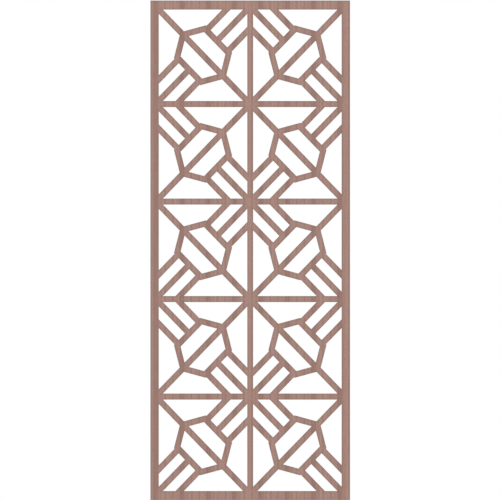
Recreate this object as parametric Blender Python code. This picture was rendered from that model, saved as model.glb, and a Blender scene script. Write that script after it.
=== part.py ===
"""Fretwork wall panel, cut through one flat sheet of walnut-faced board.

The panel hangs upright, with +Z up and its shown face towards -Y. The origin is the middle of the
flat back, where the panel meets its wall. Every size is in metres.
Run it with blender --background --python part.py, or from Blender's text editor.
"""

import math

import bpy
from mathutils import Matrix, Vector

# The sheet
PANEL_WIDTH = 0.594
PANEL_HEIGHT = 1.487
PANEL_THICKNESS = 0.00635

# The plain border round the fretwork
SIDE_BORDER_WIDTH = 0.0248
END_BORDER_WIDTH = 0.0269

# The cells of the fretwork, each a mirror image of the next one
CELL_COLUMNS = 2
CELL_ROWS = 5

# The widths of the bars
UPRIGHT_BAR_WIDTH = 0.0174
LEVEL_BAR_WIDTH = 0.018
DIAGONAL_BAR_WIDTH = 0.018
BRACE_BAR_WIDTH = 0.018
HEXAGON_BAR_WIDTH = 0.018

# The hexagon in the middle of a cell, measured on the middle lines of its bars. Its length runs along
# the cell's long diagonal, and its width along the other diagonal, the cross diagonal.
HEXAGON_LENGTH = 0.1712
HEXAGON_SIDE_LENGTH = 0.1019
HEXAGON_WIDTH = 0.1187

# The braces lie on both sides of the cross diagonal. Their spacing is measured along the long diagonal.
BRACE_SPACING = 0.0893

# The walnut's linear colour and its finish
WALNUT_COLOUR = (0.356, 0.223, 0.188, 1.0)
WALNUT_ROUGHNESS = 0.5


def clear_scene():
    """Removes every object that the opened file holds."""
    for obj in list(bpy.data.objects):
        bpy.data.objects.remove(obj, do_unlink=True)


def walnut_material():
    """The panel's plain walnut colour."""
    material = bpy.data.materials.new("walnut")
    material.use_nodes = True
    shader = material.node_tree.nodes["Principled BSDF"]
    shader.inputs["Base Color"].default_value = WALNUT_COLOUR
    shader.inputs["Roughness"].default_value = WALNUT_ROUGHNESS
    shader.inputs["Metallic"].default_value = 0.0
    material.diffuse_color = WALNUT_COLOUR
    return material


def cross(a, b):
    """The turn from a to b: above zero where b lies to the left of a."""
    return a.x * b.y - a.y * b.x


def sides_of(loop):
    """The sides of a loop, turned so that the opening is on their left.

    The loop is a list of corners, each with half the width of the bar that leaves it.
    """
    corners = [Vector(corner) for corner, _ in loop]
    following = corners[1:] + corners[:1]
    sides = [(a, b, half_width) for a, b, (_, half_width) in zip(corners, following, loop)]
    if sum(cross(a, b) for a, b, _ in sides) < 0:
        sides = [(b, a, half_width) for a, b, half_width in reversed(sides)]
    return sides


def edge_line(side):
    """A point on the bar's edge towards the opening, and the edge's direction."""
    start, end, half_width = side
    along = (end - start).normalized()
    return start + half_width * Vector((-along.y, along.x)), along


def meeting_point(first, second):
    """Where the edges of two neighbouring bars cross."""
    point_a, along_a = edge_line(first)
    point_b, along_b = edge_line(second)
    return point_a + along_a * (cross(point_b - point_a, along_b) / cross(along_a, along_b))


def opening_outline(loop):
    """The outline that is cut between the bars whose middle lines make the loop.

    A bar whose edge is hidden behind its neighbours' edges takes no part in the outline.
    """
    sides = sides_of(loop)
    while len(sides) > 2:
        corners = [meeting_point(sides[k - 1], sides[k]) for k in range(len(sides))]
        following = corners[1:] + corners[:1]
        shown = [
            side
            for side, a, b in zip(sides, corners, following)
            if (b - a).dot(side[1] - side[0]) > 0
        ]
        if len(shown) == len(sides):
            return corners
        sides = shown
    return []


def cell_openings(centre, half_long, half_cross):
    """Every opening of the cell with this centre, half long diagonal and half cross diagonal."""
    tip = HEXAGON_LENGTH / 2 / half_long.length
    shoulder = HEXAGON_SIDE_LENGTH / 2 / half_long.length
    brace = BRACE_SPACING / 2 / half_long.length
    side_line = HEXAGON_WIDTH / 2 / half_cross.length
    upright = UPRIGHT_BAR_WIDTH / 2
    level = LEVEL_BAR_WIDTH / 2
    diagonal = DIAGONAL_BAR_WIDTH / 2
    strut = BRACE_BAR_WIDTH / 2
    hexagon = HEXAGON_BAR_WIDTH / 2

    def at(along, across):
        return centre + along * half_long + across * half_cross

    outlines = []
    for across in (-1, 1):
        outlines.append(
            opening_outline(
                [
                    (at(-tip, 0), hexagon),
                    (at(-shoulder, across * side_line), hexagon),
                    (at(shoulder, across * side_line), hexagon),
                    (at(tip, 0), diagonal),
                ]
            )
        )
        for along in (-1, 1):
            # The cell's outer bar is level where its two corners share a height.
            corner = at(along, 0)
            far_corner = at(0, across)
            outer = level if math.isclose(corner.y, far_corner.y) else upright
            foot = at(along * brace, across * (1 - brace))
            joint = at(along * brace, across * side_line)
            outlines.append(
                opening_outline(
                    [
                        (corner, outer),
                        (foot, strut),
                        (joint, hexagon),
                        (at(along * shoulder, across * side_line), hexagon),
                        (at(along * tip, 0), diagonal),
                    ]
                )
            )
            outlines.append(
                opening_outline(
                    [
                        (foot, outer),
                        (far_corner, strut),
                        (at(0, across * side_line), hexagon),
                        (joint, strut),
                    ]
                )
            )
    return outlines


def panel_openings():
    """Every opening of the panel. The cells' outer lines lie half a bar inside the border."""
    cell_width = (PANEL_WIDTH - 2 * SIDE_BORDER_WIDTH + UPRIGHT_BAR_WIDTH) / CELL_COLUMNS
    cell_height = (PANEL_HEIGHT - 2 * END_BORDER_WIDTH + LEVEL_BAR_WIDTH) / CELL_ROWS
    outlines = []
    for column in range(CELL_COLUMNS):
        for row in range(CELL_ROWS):
            centre = Vector(
                (
                    (column - (CELL_COLUMNS - 1) / 2) * cell_width,
                    (row - (CELL_ROWS - 1) / 2) * cell_height,
                )
            )
            # The long diagonal falls to the right in one cell and rises in the next.
            rise = 1 if (column + row) % 2 else -1
            half_long = Vector((cell_width, rise * cell_height)) / 2
            half_cross = Vector((cell_width, -rise * cell_height)) / 2
            outlines += cell_openings(centre, half_long, half_cross)
    return [outline for outline in outlines if outline]


def panel_edge():
    """The sheet's own rectangle."""
    half_width = PANEL_WIDTH / 2
    half_height = PANEL_HEIGHT / 2
    signs = ((-1, -1), (1, -1), (1, 1), (-1, 1))
    return [Vector((x * half_width, y * half_height)) for x, y in signs]


def add_outline(curve, corners):
    """Adds one closed outline of straight lines to a flat curve."""
    spline = curve.splines.new("POLY")
    spline.points.add(len(corners) - 1)
    for point, corner in zip(spline.points, corners):
        point.co = (corner.x, corner.y, 0.0, 1.0)
    spline.use_cyclic_u = True


def make_fretwork_panel(collection):
    """The sheet with its openings, as a flat outline with the board's thickness, stood up on its edge."""
    curve = bpy.data.curves.new("fretwork_panel", "CURVE")
    curve.dimensions = "2D"
    curve.fill_mode = "BOTH"
    curve.extrude = PANEL_THICKNESS / 2
    add_outline(curve, panel_edge())
    for outline in panel_openings():
        add_outline(curve, outline)
    curve.materials.append(walnut_material())
    panel = bpy.data.objects.new("fretwork_panel", curve)
    upright = Matrix.Rotation(math.pi / 2, 4, "X")
    panel.matrix_world = Matrix.Translation((0, -PANEL_THICKNESS / 2, 0)) @ upright
    collection.objects.link(panel)
    return panel


def main():
    clear_scene()
    collection = bpy.data.collections.new("fretwork wall panel")
    bpy.context.scene.collection.children.link(collection)
    make_fretwork_panel(collection)


main()
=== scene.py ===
# %% [markdown]
# A fretwork wall panel in walnut
#
# The real panel is one flat board, faced with straight-grained walnut and cut through by a laser. It
# hangs flat on a wall. This lesson draws one cell of the pattern, lets Geometry Nodes repeat it and cut
# the board, and eases the edges. The walnut, the scorched cuts, the light and the camera follow. The
# plain solid of the panel is loaded first, because it holds the real size and the place on the wall.

# %% Load the panel's plain solid
import math

import bmesh
import bpy
from mathutils import Euler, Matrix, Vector


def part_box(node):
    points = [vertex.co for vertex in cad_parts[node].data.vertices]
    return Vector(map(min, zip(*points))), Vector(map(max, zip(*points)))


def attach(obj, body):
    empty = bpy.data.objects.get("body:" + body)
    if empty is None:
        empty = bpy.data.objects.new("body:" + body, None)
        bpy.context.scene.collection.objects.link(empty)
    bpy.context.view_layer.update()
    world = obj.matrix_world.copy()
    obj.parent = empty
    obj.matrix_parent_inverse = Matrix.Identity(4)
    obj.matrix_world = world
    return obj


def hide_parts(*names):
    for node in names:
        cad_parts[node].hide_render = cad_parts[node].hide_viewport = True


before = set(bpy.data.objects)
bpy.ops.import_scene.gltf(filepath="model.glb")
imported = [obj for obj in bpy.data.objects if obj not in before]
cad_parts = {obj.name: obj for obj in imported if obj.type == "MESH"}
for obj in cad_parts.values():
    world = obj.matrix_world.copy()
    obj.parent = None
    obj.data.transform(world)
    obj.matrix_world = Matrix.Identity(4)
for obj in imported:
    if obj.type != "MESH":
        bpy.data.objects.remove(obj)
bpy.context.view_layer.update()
low_corner, high_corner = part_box("fretwork_panel")
PANEL_WIDTH, PANEL_THICKNESS, PANEL_HEIGHT = high_corner - low_corner
print(f"{PANEL_WIDTH:.3f} m wide, {PANEL_HEIGHT:.3f} m tall, {PANEL_THICKNESS:.5f} m thick")

# %% [markdown]
# The sizes
#
# A maker sets such a pattern out on paper, on the middle lines of its bars, and gives each line its
# width afterwards. So these are the sizes of the middle lines, with the widths of the bars beside them,
# all in metres. The overall size could be typed in as well, but it is read from the solid instead, so
# that the two can't drift apart.

# %% Name the sizes
CELL_COLUMNS = 2
CELL_ROWS = 5
SIDE_BORDER_WIDTH = 0.0248
END_BORDER_WIDTH = 0.0269
UPRIGHT_BAR_WIDTH = 0.0174
LEVEL_BAR_WIDTH = 0.018
SLANTED_BAR_WIDTH = 0.018
# The hexagon's length and its long sides run along the cell's long diagonal, its width along the other.
HEXAGON_LENGTH = 0.1712
HEXAGON_SIDE_LENGTH = 0.1019
HEXAGON_WIDTH = 0.1187
BRACE_SPACING = 0.0893

CELL_WIDTH = (PANEL_WIDTH - 2 * SIDE_BORDER_WIDTH + UPRIGHT_BAR_WIDTH) / CELL_COLUMNS
CELL_HEIGHT = (PANEL_HEIGHT - 2 * END_BORDER_WIDTH + LEVEL_BAR_WIDTH) / CELL_ROWS
print(f"one cell: {CELL_WIDTH:.4f} m by {CELL_HEIGHT:.4f} m")

# %% [markdown]
# One cell of the pattern
#
# A cell holds a long hexagon on its long diagonal, and braces that run from the hexagon's two long sides
# to the other corners. The bars leave ten openings. They could be drawn just as they are cut, but then
# each corner would have to be worked out anew for every width of bar. So each opening is set out as a
# closed loop on the middle lines of the bars round it, and each point keeps the width of the bar that
# leaves it.

# %% Set out the loops of one cell
HALF_LONG = Vector((CELL_WIDTH, -CELL_HEIGHT)) / 2
HALF_CROSS = Vector((CELL_WIDTH, CELL_HEIGHT)) / 2


def cell_point(along, across):
    """A point by its share of the half long diagonal and of the half cross diagonal."""
    return along * HALF_LONG + across * HALF_CROSS


def cell_loops():
    """The ten loops of one cell, as lists of (point, width of the bar that leaves it)."""
    tip = HEXAGON_LENGTH / 2 / HALF_LONG.length
    shoulder = HEXAGON_SIDE_LENGTH / 2 / HALF_LONG.length
    brace = BRACE_SPACING / 2 / HALF_LONG.length
    side = HEXAGON_WIDTH / 2 / HALF_CROSS.length
    loops = []
    for across in (-1, 1):
        loops.append(
            [
                (cell_point(-tip, 0), SLANTED_BAR_WIDTH),
                (cell_point(-shoulder, across * side), SLANTED_BAR_WIDTH),
                (cell_point(shoulder, across * side), SLANTED_BAR_WIDTH),
                (cell_point(tip, 0), SLANTED_BAR_WIDTH),
            ]
        )
        for along in (-1, 1):
            corner, far_corner = cell_point(along, 0), cell_point(0, across)
            # The cell's outer bar is level where its two corners share a height.
            is_level = math.isclose(corner.y, far_corner.y)
            outer = LEVEL_BAR_WIDTH if is_level else UPRIGHT_BAR_WIDTH
            foot = cell_point(along * brace, across * (1 - brace))
            joint = cell_point(along * brace, across * side)
            loops.append(
                [
                    (corner, outer),
                    (foot, SLANTED_BAR_WIDTH),
                    (joint, SLANTED_BAR_WIDTH),
                    (cell_point(along * shoulder, across * side), SLANTED_BAR_WIDTH),
                    (cell_point(along * tip, 0), SLANTED_BAR_WIDTH),
                ]
            )
            loops.append(
                [
                    (foot, outer),
                    (far_corner, SLANTED_BAR_WIDTH),
                    (cell_point(0, across * side), SLANTED_BAR_WIDTH),
                    (joint, SLANTED_BAR_WIDTH),
                ]
            )
    return loops


print("loops in one cell:", len(cell_loops()))

# %% [markdown]
# The loops as a curve
#
# The loops could be a mesh of loose edges, but a curve suits them better: its points carry a radius
# already, which keeps half the width of the bar, and they know their neighbours. The sides are moved
# inwards later, so the curve has to say which side is in. Every loop is turned to run anticlockwise, and
# its opening is then on its left.


# %% Draw the loops
def anticlockwise(loop):
    """The same loop with its opening on its left."""
    places = [place for place, _ in loop]
    widths = [width for _, width in loop]
    if sum(a.cross(b) for a, b in zip(places, places[1:] + places[:1])) > 0:
        return loop
    # Run the other way, a point is left along the side that led to it before.
    return list(zip(places[::-1], widths[-2::-1] + widths[-1:]))


def draw_cell():
    """The loops as one flat curve object."""
    curve = bpy.data.curves.new("cell_lines", "CURVE")
    curve.dimensions = "3D"
    for loop in map(anticlockwise, cell_loops()):
        spline = curve.splines.new("POLY")
        spline.points.add(len(loop) - 1)
        spline.use_cyclic_u = True
        for point, (place, bar_width) in zip(spline.points, loop):
            point.co = (place.x, place.y, 0, 1)
            point.radius = bar_width / 2
    cell = bpy.data.objects.new("cell_lines", curve)
    bpy.context.scene.collection.objects.link(cell)
    return cell


cell_lines = draw_cell()
print("points on the loops:", sum(len(spline.points) for spline in cell_lines.data.splines))

# %% [markdown]
# Helpers for node trees
#
# A tree can be joined by hand in the node editor, but in a script each node would take several lines.
# These helpers add a node, feed its inputs and hand on its output, for the shape and the wood alike.


# %% Add nodes and join them
def add_node(tree, kind, inputs=None, **settings):
    """A new node. inputs gives each socket, by name or number, a value or the output that feeds it."""
    node = tree.nodes.new(kind)
    for name, value in settings.items():
        setattr(node, name, value)
    for key, value in (inputs or {}).items():
        if isinstance(value, bpy.types.NodeSocket):
            tree.links.new(value, node.inputs[key])
        else:
            node.inputs[key].default_value = value
    return node


def number(tree, operation, *values):
    """The output of a Math node."""
    node = add_node(tree, "ShaderNodeMath", dict(enumerate(values)), operation=operation)
    return node.outputs[0]


def vector(tree, operation, *values):
    """The output of a Vector Math node that gives a vector."""
    node = add_node(tree, "ShaderNodeVectorMath", dict(enumerate(values)), operation=operation)
    return node.outputs[0]


def scaled(tree, value, scale):
    """A vector times a number."""
    node = add_node(tree, "ShaderNodeVectorMath", {0: value, "Scale": scale}, operation="SCALE")
    return node.outputs[0]


def new_group(name, kind, inputs, outputs):
    """A new node group and its inputs' sockets. Each input and output is (name, kind, value)."""
    group = bpy.data.node_groups.new(name, kind)
    for in_out, sockets in (("INPUT", inputs), ("OUTPUT", outputs)):
        for socket_name, socket_kind, value in sockets:
            socket = group.interface.new_socket(
                socket_name, in_out=in_out, socket_type=f"NodeSocket{socket_kind}"
            )
            if value is not None:
                socket.default_value = value
    return group, add_node(group, "NodeGroupInput").outputs


print("the node helpers are ready")

# %% [markdown]
# From middle lines to openings
#
# A loop runs along the middle of the bars, so its opening is the loop with each side moved inwards by
# half a bar. Scaling the loop down wouldn't do that, because the bars aren't all of one width. At a
# corner, the two moved sides meet at the corner plus
# (half bar before * direction after - half bar after * direction before) / sine of the turn.
# A group of Geometry Nodes works that out for every corner at once, from the corner's two neighbours on
# the curve. Its input Into Wood makes each bar narrower, so that the same group also gives a line that
# runs round the opening a little way off, inside the wood.


# %% Build the group that turns loops into openings
def neighbour(tree, value, steps, kind):
    """The value at the point of the loop that comes this many steps later."""
    other = add_node(tree, "GeometryNodeOffsetPointInCurve", {"Offset": steps})
    inputs = {"Value": value, "Index": other.outputs["Point Index"]}
    return add_node(tree, "GeometryNodeFieldAtIndex", inputs, data_type=kind).outputs[0]


def way_into_opening(tree, half_bar):
    """For each corner of a loop, the way to the matching corner of its opening."""
    place = add_node(tree, "GeometryNodeInputPosition").outputs[0]
    before = vector(tree, "SUBTRACT", place, neighbour(tree, place, -1, "FLOAT_VECTOR"))
    after = vector(tree, "SUBTRACT", neighbour(tree, place, 1, "FLOAT_VECTOR"), place)
    before = vector(tree, "NORMALIZE", before)
    after = vector(tree, "NORMALIZE", after)
    turn = vector(tree, "CROSS_PRODUCT", before, after)
    sine = add_node(tree, "ShaderNodeSeparateXYZ", {0: turn}).outputs["Z"]
    along_after = scaled(tree, after, neighbour(tree, half_bar, -1, "FLOAT"))
    along_before = scaled(tree, before, half_bar)
    way = vector(tree, "SUBTRACT", along_after, along_before)
    return scaled(tree, way, number(tree, "DIVIDE", 1, sine))


def build_opening_group():
    """Loops on the bars' middle lines become the openings between the bars."""
    group, given = new_group(
        "loops_to_openings",
        "GeometryNodeTree",
        (("Loops", "Geometry", None), ("Into Wood", "Float", 0.0)),
        (("Openings", "Geometry", None),),
    )
    radius = add_node(group, "GeometryNodeInputRadius").outputs[0]
    half_bar = number(group, "SUBTRACT", radius, given["Into Wood"])
    inputs = {"Geometry": given["Loops"], "Offset": way_into_opening(group, half_bar)}
    openings = add_node(group, "GeometryNodeSetPosition", inputs).outputs[0]
    add_node(group, "NodeGroupOutput", {0: openings})
    return group


opening_group = build_opening_group()
print("nodes in the opening group:", len(opening_group.nodes))

# %% [markdown]
# Repeat the cell
#
# The fretwork is one cell, laid out on a grid and turned to its mirror image on every other place, as
# the colours of a chessboard go. Array and Mirror modifiers could do that for one way of counting only.
# Instances on the points of a grid follow any number of columns and rows. A grid counts its points up
# each column and then along the row, so a point's number tells whether its cell is a mirrored one.


# %% Build the group that repeats the cell
def build_repeat_group():
    """The openings of one cell on every point of a grid, mirrored on every other point."""
    group, given = new_group(
        "mirrored_cells",
        "GeometryNodeTree",
        (
            ("Openings", "Geometry", None),
            ("Columns", "Int", CELL_COLUMNS),
            ("Rows", "Int", CELL_ROWS),
            ("Cell Width", "Float", CELL_WIDTH),
            ("Cell Height", "Float", CELL_HEIGHT),
        ),
        (("Cells", "Geometry", None),),
    )
    steps_across = number(group, "SUBTRACT", given["Columns"], 1)
    steps_up = number(group, "SUBTRACT", given["Rows"], 1)
    grid = add_node(
        group,
        "GeometryNodeMeshGrid",
        {
            "Size X": number(group, "MULTIPLY", steps_across, given["Cell Width"]),
            "Size Y": number(group, "MULTIPLY", steps_up, given["Cell Height"]),
            "Vertices X": given["Columns"],
            "Vertices Y": given["Rows"],
        },
    ).outputs["Mesh"]
    count = add_node(group, "GeometryNodeInputIndex").outputs[0]
    column = number(group, "FLOOR", number(group, "DIVIDE", count, given["Rows"]))
    row = number(group, "FLOORED_MODULO", count, given["Rows"])
    odd = number(group, "FLOORED_MODULO", number(group, "ADD", column, row), 2)
    # 1 on the even places, and -1, the mirror image, on the odd ones
    side = number(group, "MULTIPLY_ADD", odd, -2, 1)
    flip = add_node(group, "ShaderNodeCombineXYZ", {"X": side, "Y": 1, "Z": 1}).outputs[0]
    inputs = {"Points": grid, "Instance": given["Openings"], "Scale": flip}
    cells = add_node(group, "GeometryNodeInstanceOnPoints", inputs).outputs[0]
    real = add_node(group, "GeometryNodeRealizeInstances", {0: cells}).outputs[0]
    add_node(group, "NodeGroupOutput", {0: real})
    return group


repeat_group = build_repeat_group()
print("nodes in the repeat group:", len(repeat_group.nodes))

# %% [markdown]
# Cut the board
#
# The real board is cut through from a flat sheet. A Boolean could cut a hundred solids out of a slab,
# but filling the sheet's outline and the openings together leaves the openings free as well, and one
# extrusion gives the thickness, so the faces stay clean. The outlines are made twice, the second time a
# little way into the wood. That gives a narrow band of faces beside every cut, and an attribute that is
# one at the cut and nothing at the band's other side, to tell the wood where the laser's heat reached.

# %% Build the fretwork tree
SCORCHED_BAND_WIDTH = 0.007
WELD_DISTANCE = 0.00001
FRETWORK_SIZES = (
    ("Columns", "Int", CELL_COLUMNS),
    ("Rows", "Int", CELL_ROWS),
    ("Cell Width", "Float", CELL_WIDTH),
    ("Cell Height", "Float", CELL_HEIGHT),
    ("Panel Width", "Float", PANEL_WIDTH),
    ("Panel Height", "Float", PANEL_HEIGHT),
    ("Thickness", "Float", PANEL_THICKNESS),
    ("Band Width", "Float", SCORCHED_BAND_WIDTH),
)


def joined(tree, *geometries):
    """Several geometries as one."""
    join = add_node(tree, "GeometryNodeJoinGeometry")
    for geometry in geometries:
        tree.links.new(geometry, join.inputs[0])
    return join.outputs[0]


def filled(tree, curves):
    """The flat faces between curves that lie inside each other, every other gap left free."""
    return add_node(tree, "GeometryNodeFillCurve", {"Curve": curves}, mode="NGONS").outputs[0]


def welded(tree, geometry):
    """The same faces, with the points that meet made one."""
    inputs = {"Geometry": geometry, "Distance": WELD_DISTANCE}
    return add_node(tree, "GeometryNodeMergeByDistance", inputs).outputs[0]


def outlines(tree, given, into_wood):
    """The board's outline and its openings, all moved into the wood by this much."""
    inputs = {"Loops": given["Cell"], "Into Wood": into_wood}
    openings = add_node(tree, "GeometryNodeGroup", inputs, node_tree=opening_group).outputs[0]
    inputs = {name: given[name] for name in ("Columns", "Rows", "Cell Width", "Cell Height")}
    inputs["Openings"] = openings
    cells = add_node(tree, "GeometryNodeGroup", inputs, node_tree=repeat_group).outputs[0]
    width = number(tree, "MULTIPLY_ADD", into_wood, -2, given["Panel Width"])
    height = number(tree, "MULTIPLY_ADD", into_wood, -2, given["Panel Height"])
    inputs = {"Width": width, "Height": height}
    sheet = add_node(tree, "GeometryNodeCurvePrimitiveQuadrilateral", inputs).outputs[0]
    return joined(tree, cells, sheet)


def marked_cuts(tree, flat):
    """The faces with the attribute that is one on every point of an open edge, where the laser ran."""
    faces = add_node(tree, "GeometryNodeInputMeshEdgeNeighbors").outputs[0]
    is_open = number(tree, "LESS_THAN", faces, 2)
    settings = {"data_type": "BOOLEAN", "domain": "EDGE"}
    on_edges = add_node(tree, "GeometryNodeFieldOnDomain", {0: is_open}, **settings).outputs[0]
    inputs = {"Geometry": flat, "Name": "near_cut", "Value": on_edges}
    settings = {"data_type": "FLOAT", "domain": "POINT"}
    return add_node(tree, "GeometryNodeStoreNamedAttribute", inputs, **settings).outputs[0]


def build_fretwork_tree():
    """The whole rule, from the loops of one cell to the upright board."""
    tree, given = new_group(
        "fretwork",
        "GeometryNodeTree",
        (("Cell", "Geometry", None), *FRETWORK_SIZES, ("Material", "Material", None)),
        (("Board", "Geometry", None),),
    )
    cuts = outlines(tree, given, 0.0)
    band_ends = outlines(tree, given, given["Band Width"])
    flat = joined(tree, filled(tree, band_ends), filled(tree, joined(tree, cuts, band_ends)))
    flat = marked_cuts(tree, welded(tree, flat))
    inputs = {"Mesh": flat, "Offset Scale": given["Thickness"], "Individual": False}
    raised = add_node(tree, "GeometryNodeExtrudeMesh", inputs).outputs["Mesh"]
    turned_back = add_node(tree, "GeometryNodeFlipFaces", {"Mesh": flat}).outputs[0]
    closed = welded(tree, joined(tree, raised, turned_back))
    inputs = {"Geometry": closed, "Rotation": Euler((math.pi / 2, 0, 0))}
    upright = add_node(tree, "GeometryNodeTransform", inputs).outputs[0]
    # The instances are real already. This makes any others real that a later change may add.
    real = add_node(tree, "GeometryNodeRealizeInstances", {0: upright}).outputs[0]
    inputs = {"Geometry": real, "Material": given["Material"]}
    painted = add_node(tree, "GeometryNodeSetMaterial", inputs).outputs[0]
    add_node(tree, "NodeGroupOutput", {0: painted})
    return tree


fretwork_tree = build_fretwork_tree()
print("nodes in the fretwork tree:", len(fretwork_tree.nodes))

# %% [markdown]
# The walnut's figure
#
# The board is faced with narrow leaves of veneer, cut one after another from the same piece of walnut
# and laid side by side without turning them. So every leaf shows the same upright stripes: one broad
# dark streak, a few narrow ones, and light wood between them. A photograph of walnut could be laid over
# the board, but it would have one sharpness only, and noise alone would never repeat. So the streaks are
# placed by their widths, and noise that is pulled out along the grain adds what changes: slow stripes,
# thin lines, short fibres and the fine dark pores.

# %% Name the sizes of the figure
LEAF_WIDTH = 0.0783
# Each streak's middle and width across the leaf, and its share of the full darkening
STREAKS = (
    (0.0020, 0.0120, 0.25),
    (0.0158, 0.0155, 0.75),
    (0.0120, 0.0040, 0.20),
    (0.0196, 0.0045, 0.15),
    (0.0290, 0.0110, 0.28),
    (0.0432, 0.0062, 0.55),
    (0.0560, 0.0034, 0.18),
    (0.0668, 0.0062, 0.55),
)
STREAK_SOFTNESS = 0.0012
SWAY = 0.0009
# Each noise's features to a metre across the grain and along it, its detail, and its seed
SWAYS = (6.0, 2.2, 0.0, 9.4)
STRIPES = (210.0, 1.6, 2.0, 4.7)
LINES = (900.0, 3.0, 3.0, 6.2)
FIBRES = (620.0, 38.0, 3.0, 1.3)
PORES = (2300.0, 140.0, 1.0, 8.1)
HUES = (95.0, 1.2, 1.0, 2.9)
# How far the noise moves on from leaf to leaf: little for the slow figure, far for the fine one
SLOW_CHANGE = 0.05
FINE_CHANGE = 7.3
# The noise above which a pore starts, and above which it is at its deepest
PORE_START = 0.56
PORE_DEEPEST = 0.68
print(f"leaves across the board: {PANEL_WIDTH / LEAF_WIDTH:.1f}, streaks on each: {len(STREAKS)}")

# %% [markdown]
# Noise and streaks
#
# Ping-pong mathematics turns the way across the board into the distance from the nearest repeat of a
# streak, so one small chain of nodes draws a streak on every leaf. Noise is stretched by scaling its
# place much less along the grain than across it. A fourth number moves it on, as a seed would.


# %% Make noise and streaks
def smooth_step(tree, value, start, end, low=0.0, high=1.0):
    """low up to start, high from end on, and a smooth way between them."""
    inputs = {"Value": value, "From Min": start, "From Max": end, "To Min": low, "To Max": high}
    return add_node(tree, "ShaderNodeMapRange", inputs, interpolation_type="SMOOTHSTEP").outputs[0]


def grain_noise(tree, across, along, seed, settings):
    """Noise pulled out along the grain, from about 0 to 1."""
    scale_across, scale_along, detail, own_seed = settings
    inputs = {
        "X": number(tree, "MULTIPLY", across, scale_across),
        "Z": number(tree, "MULTIPLY", along, scale_along),
    }
    place = add_node(tree, "ShaderNodeCombineXYZ", inputs).outputs[0]
    moved_on = number(tree, "ADD", seed, own_seed)
    inputs = {"Vector": place, "W": moved_on, "Scale": 1.0, "Detail": detail}
    return add_node(tree, "ShaderNodeTexNoise", inputs, noise_dimensions="4D").outputs[0]


def streak_masks(tree, across, leaf_width):
    """The darkening of all the streaks together, from 0 to 1."""
    half_leaf = number(tree, "MULTIPLY", leaf_width, 0.5)
    total = 0.0
    for middle, width, depth in STREAKS:
        away = number(tree, "PINGPONG", number(tree, "SUBTRACT", across, middle), half_leaf)
        start, end = width / 2 - STREAK_SOFTNESS, width / 2 + STREAK_SOFTNESS
        total = number(tree, "ADD", total, smooth_step(tree, away, start, end, depth, 0))
    return total


print(f"the darkest streak takes {max(depth for _, _, depth in STREAKS):.0%} of the full darkening")

# %% [markdown]
# The figure as a group
#
# The face and the back show the same wood, and another panel could wear it too, so the figure is a group
# of its own. It takes a place on the board, the width of a leaf and a seed, and it gives one mask for
# each kind of mark, so that a material chooses how strongly each of them shows.

# %% Build the figure group
FIGURE_MASKS = ("Streaks", "Stripes", "Lines", "Fibres", "Pores", "Hue")


def build_figure_group():
    """Straight-grained walnut in repeated leaves."""
    group, given = new_group(
        "walnut_figure",
        "ShaderNodeTree",
        (
            ("Across", "Float", None),
            ("Along", "Float", None),
            ("Leaf Width", "Float", LEAF_WIDTH),
            ("Seed", "Float", 0.0),
        ),
        [(name, "Float", None) for name in FIGURE_MASKS],
    )
    along, seed = given["Along"], given["Seed"]
    sway = grain_noise(group, given["Across"], along, seed, SWAYS)
    sway = number(group, "MULTIPLY", number(group, "SUBTRACT", sway, 0.5), SWAY * 2)
    across = number(group, "ADD", given["Across"], sway)
    share = number(group, "DIVIDE", across, given["Leaf Width"])
    leaf = number(group, "FLOOR", share)
    on_leaf = number(group, "MULTIPLY", number(group, "FRACT", share), given["Leaf Width"])
    slow_seed = number(group, "MULTIPLY_ADD", leaf, SLOW_CHANGE, seed)
    fine_seed = number(group, "MULTIPLY_ADD", leaf, FINE_CHANGE, seed)
    pores = grain_noise(group, on_leaf, along, fine_seed, PORES)
    masks = {
        "Streaks": streak_masks(group, across, given["Leaf Width"]),
        "Stripes": grain_noise(group, on_leaf, along, slow_seed, STRIPES),
        "Lines": grain_noise(group, on_leaf, along, slow_seed, LINES),
        "Fibres": grain_noise(group, on_leaf, along, fine_seed, FIBRES),
        "Pores": smooth_step(group, pores, PORE_START, PORE_DEEPEST),
        "Hue": grain_noise(group, on_leaf, along, slow_seed, HUES),
    }
    add_node(group, "NodeGroupOutput", masks)
    return group


figure_group = build_figure_group()
print("nodes in the figure group:", len(figure_group.nodes))

# %% [markdown]
# The cut edge
#
# A laser leaves sharp corners and browns what it cuts. So the walls of the openings show the board's
# layers, thin walnut outside and crossed layers of core between, all scorched to a dark brown, and the
# scorching reaches a little way over each eased edge. The layers could be strips of faces with materials
# of their own, but how deep a point lies in the board already tells which layer it is in, and the
# distance to the nearer face tells how much it is scorched.

# %% Build the group for the board's layers
# Each layer's far side, measured from the shown face, and its brightness
LAYERS = ((0.0006, 1.0), (0.0023, 0.62), (0.0041, 1.25), (0.00575, 0.60), (PANEL_THICKNESS, 1.0))
LAYER_SOFTNESS = 0.00008
# How deep under the nearer face the scorching starts, and how deep it is full
SCORCH_START = 0.00003
SCORCH_END = 0.00032


def build_layer_group():
    """The brightness of the board's layers, and where the cut has scorched them."""
    group, given = new_group(
        "board_layers",
        "ShaderNodeTree",
        (("Depth", "Float", None), ("Thickness", "Float", PANEL_THICKNESS)),
        (("Brightness", "Float", None), ("Scorch", "Float", None)),
    )
    depth = given["Depth"]
    brightness = LAYERS[0][1]
    for (edge, before), (_, after) in zip(LAYERS, LAYERS[1:]):
        start, end = edge - LAYER_SOFTNESS, edge + LAYER_SOFTNESS
        step = smooth_step(group, depth, start, end, 0, after - before)
        brightness = number(group, "ADD", brightness, step)
    to_back = number(group, "SUBTRACT", given["Thickness"], depth)
    scorch = smooth_step(group, number(group, "MINIMUM", depth, to_back), SCORCH_START, SCORCH_END)
    add_node(group, "NodeGroupOutput", {"Brightness": brightness, "Scorch": scorch})
    return group


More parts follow.
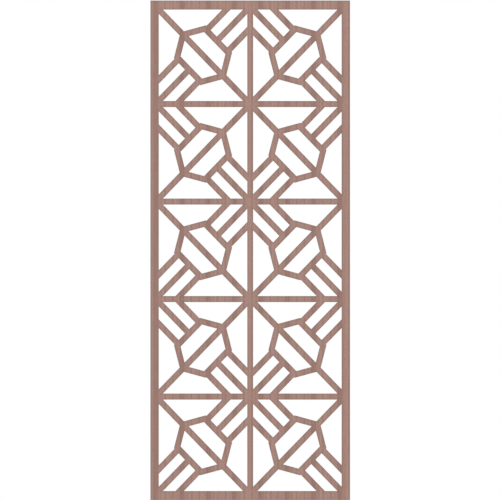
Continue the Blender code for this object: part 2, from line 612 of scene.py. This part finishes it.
layer_group = build_layer_group()
print("nodes in the layer group:", len(layer_group.nodes))

# %% [markdown]
# The colours
#
# Walnut under a thin satin lacquer is a dull rose brown, and its streaks are a few steps darker. Two
# pairs of a light and a dark colour, one a little redder, keep the wood from looking printed. All the
# colours are named by what the eye sees on a screen, and turned into the linear values that light adds
# up in.


# %% Name the colours
def linear(red, green, blue):
    """The linear colour of an sRGB colour given from 0 to 255."""
    channels = [c / 255 for c in (red, green, blue)]
    return [c / 12.92 if c <= 0.04045 else ((c + 0.055) / 1.055) ** 2.4 for c in channels] + [1.0]


LIGHT_WALNUT = linear(174, 139, 128)
DARK_WALNUT = linear(148, 113, 102)
LIGHT_RED_WALNUT = linear(176, 137, 124)
DARK_RED_WALNUT = linear(151, 110, 98)
PORE_WALNUT = linear(100, 72, 61)
SMOKED_WALNUT = linear(88, 85, 81)
SCORCHED_WOOD = linear(80, 57, 44)
print("light walnut in linear light:", [round(channel, 3) for channel in LIGHT_WALNUT[:3]])

# %% [markdown]
# The sanded face
#
# Each kind of mark darkens the wood by its own strength, and the sum goes from the light colour to the
# dark one. The back of such a board has a plainer leaf, so its streaks are fainter and its own. Beside
# the cuts the laser's smoke has browned the face in a narrow, uneven band. A mask painted by hand could
# hold that band, but the attribute that the fretwork tree stores follows every change of the pattern.

# %% Mix the colour of the face
BACK_STREAKS = 0.45
BASE_DARKNESS = 0.34
STREAK_STRENGTH = 0.72
GRAIN_STRENGTHS = (("Stripes", 0.55), ("Lines", 1.0), ("Fibres", 1.1))
PORE_STRENGTH = 0.50
# The noise up to which the wood is of the plain pair, from which on it is redder, and how much redder
HUE_START = 0.35
HUE_END = 0.65
HUE_STRENGTH = 0.55
SMOKE_STRENGTH = 0.27
SMOKE_FALLOFF = 1.3
# The least share of the smoke, and how much more the fibres can take up
SMOKE_LEAST = 0.7
SMOKE_ON_FIBRES = 0.6


def mixed(tree, factor, first, second):
    """Two colours mixed by a factor, which may go a little past either of them."""
    # A Mix node keeps its two colours in sockets 6 and 7, and their mix in output 2.
    inputs = {0: factor, 6: first, 7: second}
    return add_node(tree, "ShaderNodeMix", inputs, data_type="RGBA", clamp_factor=False).outputs[2]


def wood_colour(tree, figure, on_back):
    """The colour of the sanded face, without the smoke."""
    streaks = number(tree, "MULTIPLY_ADD", on_back, BACK_STREAKS - 1, 1)
    streaks = number(tree, "MULTIPLY", streaks, figure["Streaks"])
    darkness = number(tree, "MULTIPLY_ADD", streaks, STREAK_STRENGTH, BASE_DARKNESS)
    for name, strength in GRAIN_STRENGTHS:
        from_middle = number(tree, "SUBTRACT", 0.5, figure[name])
        darkness = number(tree, "MULTIPLY_ADD", from_middle, strength, darkness)
    grey = mixed(tree, darkness, LIGHT_WALNUT, DARK_WALNUT)
    red = mixed(tree, darkness, LIGHT_RED_WALNUT, DARK_RED_WALNUT)
    hue = smooth_step(tree, figure["Hue"], HUE_START, HUE_END, 0, HUE_STRENGTH)
    pores = number(tree, "MULTIPLY", figure["Pores"], PORE_STRENGTH)
    return mixed(tree, pores, mixed(tree, hue, grey, red), PORE_WALNUT)


def smoke(tree, figure):
    """How much the laser's smoke has browned the face, from the attribute that the fretwork carries."""
    near_cut = add_node(tree, "ShaderNodeAttribute", attribute_name="near_cut").outputs["Fac"]
    fading = number(tree, "POWER", near_cut, SMOKE_FALLOFF)
    uneven = number(tree, "MULTIPLY_ADD", figure["Fibres"], SMOKE_ON_FIBRES, SMOKE_LEAST)
    return number(tree, "MULTIPLY", fading, number(tree, "MULTIPLY", uneven, SMOKE_STRENGTH))


print("marks that darken the face:", [name for name, _ in GRAIN_STRENGTHS], "and streaks, pores, smoke")

# %% [markdown]
# The finish
#
# One material covers the whole board, because it is one board: the sanded face where a point lies in the
# face, and the scorched layers where it lies in a cut. Object coordinates keep all of it fixed to the
# board, whatever the light or the camera does. The satin lacquer shines softly, the pores are a little
# rougher and lie a little lower, and the scorched cuts are dull.

# %% Make the walnut material
BACK_SEED = 40.0
LACQUER_ROUGHNESS = 0.46
PORE_ROUGHNESS = 0.12
SCORCH_ROUGHNESS = 0.25
GRAIN_RELIEF = 0.00006
GRAIN_RELIEF_STRENGTH = 0.35
# The tone of the scorched wood between its fibres, and how much lighter it is on them
SCORCH_TONE = 0.75
SCORCH_TONE_ON_FIBRES = 0.5


def board_places(tree):
    """Across the board from its left edge, along it, down from its shown face, and 1 on the back half."""
    place = add_node(tree, "ShaderNodeTexCoord").outputs["Object"]
    place = add_node(tree, "ShaderNodeSeparateXYZ", {0: place}).outputs
    across = number(tree, "ADD", place["X"], PANEL_WIDTH / 2)
    depth = number(tree, "ADD", place["Y"], PANEL_THICKNESS)
    on_back = number(tree, "GREATER_THAN", depth, PANEL_THICKNESS / 2)
    return across, place["Z"], depth, on_back


def board_colour(tree, figure, layers, on_back):
    """The colour anywhere on the board."""
    face = wood_colour(tree, figure, on_back)
    face = mixed(tree, smoke(tree, figure), face, SMOKED_WALNUT)
    tone = number(tree, "MULTIPLY_ADD", figure["Fibres"], SCORCH_TONE_ON_FIBRES, SCORCH_TONE)
    scorched = scaled(tree, SCORCHED_WOOD[:3], number(tree, "MULTIPLY", tone, layers["Brightness"]))
    return mixed(tree, layers["Scorch"], face, scorched)


def build_walnut():
    """The board's one material."""
    material = bpy.data.materials.new("lacquered_walnut")
    material.use_nodes = True
    tree = material.node_tree
    shader = tree.nodes["Principled BSDF"]
    across, along, depth, on_back = board_places(tree)
    seed = number(tree, "MULTIPLY", on_back, BACK_SEED)
    inputs = {"Across": across, "Along": along, "Seed": seed}
    figure = add_node(tree, "ShaderNodeGroup", inputs, node_tree=figure_group).outputs
    layers = add_node(tree, "ShaderNodeGroup", {"Depth": depth}, node_tree=layer_group).outputs
    tree.links.new(board_colour(tree, figure, layers, on_back), shader.inputs["Base Color"])
    roughness = number(tree, "MULTIPLY_ADD", figure["Pores"], PORE_ROUGHNESS, LACQUER_ROUGHNESS)
    roughness = number(tree, "MULTIPLY_ADD", layers["Scorch"], SCORCH_ROUGHNESS, roughness)
    tree.links.new(roughness, shader.inputs["Roughness"])
    height = number(tree, "SUBTRACT", figure["Fibres"], figure["Pores"])
    inputs = {"Height": height, "Strength": GRAIN_RELIEF_STRENGTH, "Distance": GRAIN_RELIEF}
    bump = add_node(tree, "ShaderNodeBump", inputs)
    tree.links.new(bump.outputs[0], shader.inputs["Normal"])
    return material


walnut = build_walnut()
print("nodes in the walnut material:", len(walnut.node_tree.nodes))

# %% [markdown]
# Run the tree
#
# The tree runs as a modifier on the drawn loops. It could stay there, but a plain mesh is easier to
# finish and to hand on, so the result becomes one and the tree is taken off. The tree's inputs are set
# by their identifiers before the object is evaluated for the first time.


# %% Cut the board with the tree
def plain_mesh(obj, name):
    """The evaluated shape of an object as a mesh of its own."""
    evaluated = obj.evaluated_get(bpy.context.evaluated_depsgraph_get())
    mesh = bpy.data.meshes.new_from_object(evaluated)
    mesh.name = name
    return mesh


def run_fretwork(cell):
    """The fretwork tree's mesh for the drawn loops of one cell."""
    values = {name: value for name, _, value in FRETWORK_SIZES}
    values["Material"] = walnut
    modifier = cell.modifiers.new("fretwork", "NODES")
    modifier.node_group = fretwork_tree
    for item in fretwork_tree.interface.items_tree:
        if item.in_out == "INPUT" and item.name in values:
            modifier[item.identifier] = values[item.name]
    bpy.context.view_layer.update()
    mesh = plain_mesh(cell, "cut_board")
    cell.modifiers.remove(modifier)
    lines = cell.data
    bpy.data.objects.remove(cell)
    bpy.data.curves.remove(lines)
    return mesh


def keep_one_material(mesh, material):
    """Takes off the empty slot that a curve leaves, so that this material alone is on every face."""
    mesh.materials.clear()
    mesh.materials.append(material)
    mesh.polygons.foreach_set("material_index", [0] * len(mesh.polygons))


board_mesh = run_fretwork(cell_lines)
keep_one_material(board_mesh, walnut)
print("faces of the cut board:", len(board_mesh.polygons))

# %% [markdown]
# Ease the edges
#
# Sanding after the cut takes the sharpness off every edge, by less than half a millimetre. The tree
# could do that too, but a Bevel modifier is made for it, and with hardened normals the broad faces stay
# perfectly flat up to the narrow rounding. The bevel blends the cut's attribute between its new points,
# so the attribute is made one again on all of them but the band's far side.

# %% Finish the panel
EASED_EDGE = 0.0004
EASING_STEPS = 2
EASED_ANGLE = math.radians(30)
LEAST_MARK = 0.05


def ease_edges(obj):
    """Bevels every edge of the board and keeps the result as the object's mesh."""
    bevel = obj.modifiers.new("eased_edges", "BEVEL")
    bevel.width = EASED_EDGE
    bevel.segments = EASING_STEPS
    bevel.limit_method = "ANGLE"
    bevel.angle_limit = EASED_ANGLE
    bevel.harden_normals = True
    bpy.context.view_layer.update()
    sharp_mesh, obj.data = obj.data, plain_mesh(obj, "walnut_fretwork")
    obj.modifiers.remove(bevel)
    bpy.data.meshes.remove(sharp_mesh)


def even_marks(mesh):
    """Makes the cut's attribute one wherever the bevel has left some of it."""
    for mark in mesh.attributes["near_cut"].data:
        mark.value = 0.0 if mark.value < LEAST_MARK else 1.0


def build_panel(mesh):
    """The finished board, in its place."""
    board = bpy.data.objects.new("walnut_fretwork", mesh)
    bpy.context.scene.collection.objects.link(board)
    mesh.shade_smooth()
    ease_edges(board)
    even_marks(board.data)
    return board


panel = build_panel(board_mesh)
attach(panel, "root")
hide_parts("fretwork_panel")
print("faces of the finished panel:", len(panel.data.polygons))

# %% [markdown]
# The floor
#
# The panel hangs free above a pale floor, in front of nothing but white, as in a product picture. The
# floor lies low enough to stay out of the level view. A plain square floor would cut a horizon through
# the views from above and hide the panel from below. So it is round, fades out towards its rim, and is
# clear from below.

# %% Lay the floor
FLOOR_HEIGHT = -1.1
FLOOR_RADIUS = 9.0
FLOOR_SIDES = 96
FLOOR_FADE_START = 4.0
FLOOR_COLOUR = (0.88, 0.88, 0.87, 1)
FLOOR_ROUGHNESS = 0.8


def floor_material():
    """Pale and dull on top, fading to clear at the rim and clear from below."""
    material = bpy.data.materials.new("pale_floor")
    material.use_nodes = True
    tree = material.node_tree
    shader = tree.nodes["Principled BSDF"]
    shader.inputs["Base Color"].default_value = FLOOR_COLOUR
    shader.inputs["Roughness"].default_value = FLOOR_ROUGHNESS
    place = add_node(tree, "ShaderNodeTexCoord").outputs["Object"]
    place = add_node(tree, "ShaderNodeSeparateXYZ", {0: place}).outputs
    squares = number(tree, "MULTIPLY", place["X"], place["X"])
    squares = number(tree, "MULTIPLY_ADD", place["Y"], place["Y"], squares)
    fade = smooth_step(tree, number(tree, "SQRT", squares), FLOOR_FADE_START, FLOOR_RADIUS)
    below = add_node(tree, "ShaderNodeNewGeometry").outputs["Backfacing"]
    clear = add_node(tree, "ShaderNodeBsdfTransparent").outputs[0]
    inputs = {0: number(tree, "MAXIMUM", fade, below), 1: shader.outputs[0], 2: clear}
    both = add_node(tree, "ShaderNodeMixShader", inputs)
    tree.links.new(both.outputs[0], tree.nodes["Material Output"].inputs["Surface"])
    return material


def lay_floor():
    """A wide round floor below the panel."""
    mesh = bpy.data.meshes.new("floor")
    shape = bmesh.new()
    bmesh.ops.create_circle(shape, cap_ends=True, radius=FLOOR_RADIUS, segments=FLOOR_SIDES)
    bmesh.ops.translate(shape, vec=(0, 0, FLOOR_HEIGHT), verts=shape.verts)
    shape.to_mesh(mesh)
    shape.free()
    mesh.materials.append(floor_material())
    ground = bpy.data.objects.new("floor", mesh)
    bpy.context.scene.collection.objects.link(ground)
    return ground


floor = lay_floor()
print("the floor looks up:", floor.data.polygons[0].normal.z > 0)

# %% [markdown]
# The light
#
# White light from all round keeps the walnut's own colour, but alone it would leave the board without
# any form. So large soft lamps add a little direction: a key and a fill for the face, and one for the
# back. The white is a little dimmer for the wood than for the eye, so that the ground stays pure white.

# %% Set the light
SURROUNDING_LIGHT = 0.80
LAMP_SIZE = 5.0
# Each lamp's name, its place and its power in watts
LAMPS = (
    ("key_lamp", (-4.5, -7.0, 3.6), 165.0),
    ("fill_lamp", (5.5, -6.0, -0.2), 75.0),
    ("back_lamp", (4.0, 7.5, 3.0), 150.0),
)


def set_surroundings():
    """White for the camera, a little less for everything else, and no film look over the colours."""
    world = bpy.data.worlds.new("white")
    bpy.context.scene.world = world
    world.use_nodes = True
    tree = world.node_tree
    background = tree.nodes["Background"]
    background.inputs["Color"].default_value = (1, 1, 1, 1)
    seen = add_node(tree, "ShaderNodeLightPath").outputs["Is Camera Ray"]
    strength = number(tree, "MULTIPLY_ADD", seen, 1 - SURROUNDING_LIGHT, SURROUNDING_LIGHT)
    tree.links.new(strength, background.inputs["Strength"])
    bpy.context.scene.view_settings.view_transform = "Standard"


def hang_lamp(name, place, power):
    """A square lamp that faces the panel's middle."""
    light = bpy.data.lights.new(name, "AREA")
    light.shape = "SQUARE"
    light.size = LAMP_SIZE
    light.energy = power
    lamp = bpy.data.objects.new(name, light)
    lamp.location = place
    lamp.rotation_euler = (-Vector(place)).to_track_quat("-Z", "Y").to_euler()
    bpy.context.scene.collection.objects.link(lamp)


set_surroundings()
for lamp_settings in LAMPS:
    hang_lamp(*lamp_settings)
print("lamps:", [name for name, _, _ in LAMPS])

# %% [markdown]
# The camera
#
# The picture shows the panel straight on and without any perspective: not even the walls of the openings
# at its ends can be seen. An orthographic camera would give the same view, but a long lens far away does
# so as well and still shows depth when it moves round the panel. Its aim is a fraction of a millimetre
# off the middle, as the picture's is.

# %% Place the camera
# The height that the picture shows at the panel's face
VIEW_HEIGHT = 1.4880
# The focal length and the width of the sensor, in millimetres
LENS = 500.0
SENSOR = 36.0
AIM_ACROSS = -0.00060
AIM_UP = 0.00092

camera_data = bpy.data.cameras.new("camera")
camera_data.lens = LENS
camera_data.sensor_width = SENSOR
camera = bpy.data.objects.new("camera", camera_data)
distance = VIEW_HEIGHT * LENS / SENSOR + PANEL_THICKNESS
camera.location = (AIM_ACROSS, -distance, AIM_UP)
camera.rotation_euler = (math.pi / 2, 0, 0)
bpy.context.scene.collection.objects.link(camera)
bpy.context.scene.camera = camera
print(f"camera distance: {distance:.2f} m")
